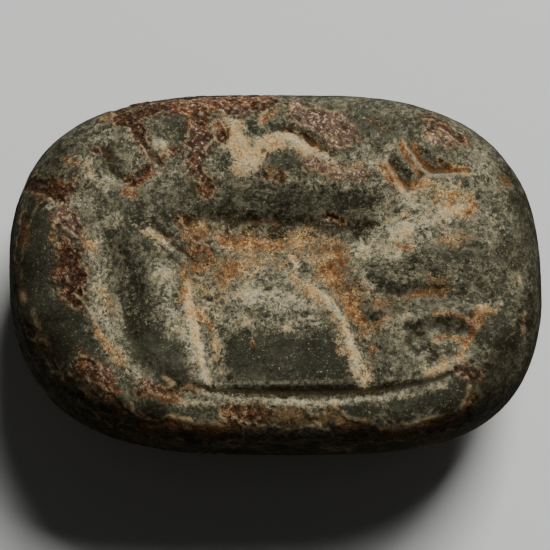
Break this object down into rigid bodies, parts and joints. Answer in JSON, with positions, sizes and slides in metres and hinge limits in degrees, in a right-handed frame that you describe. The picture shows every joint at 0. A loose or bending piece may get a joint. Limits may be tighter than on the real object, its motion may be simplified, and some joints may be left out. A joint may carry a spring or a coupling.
{
  "type": "stamp seal",
  "caption": "Rounded oblong stone stamp seal with a worn animal cut into its flat face, a low domed back with a flat foot, and a lengthwise string hole.",
  "frame": {"origin": "middle of the flat foot under the seal, on the surface that it lies on", "axes": "+X along the length and the string hole, +Y across the face from the ground line to the horns, +Z out of the cut face"},
  "size_m": [0.04, 0.0272, 0.014],
  "materials": {
    "stone": "worn polished dark olive green stone with pale abrasion, orange and brown staining and pitted brown crust"
  },
  "bodies": {
    "root": {"seal": "stone"}
  },
  "joints": []
}
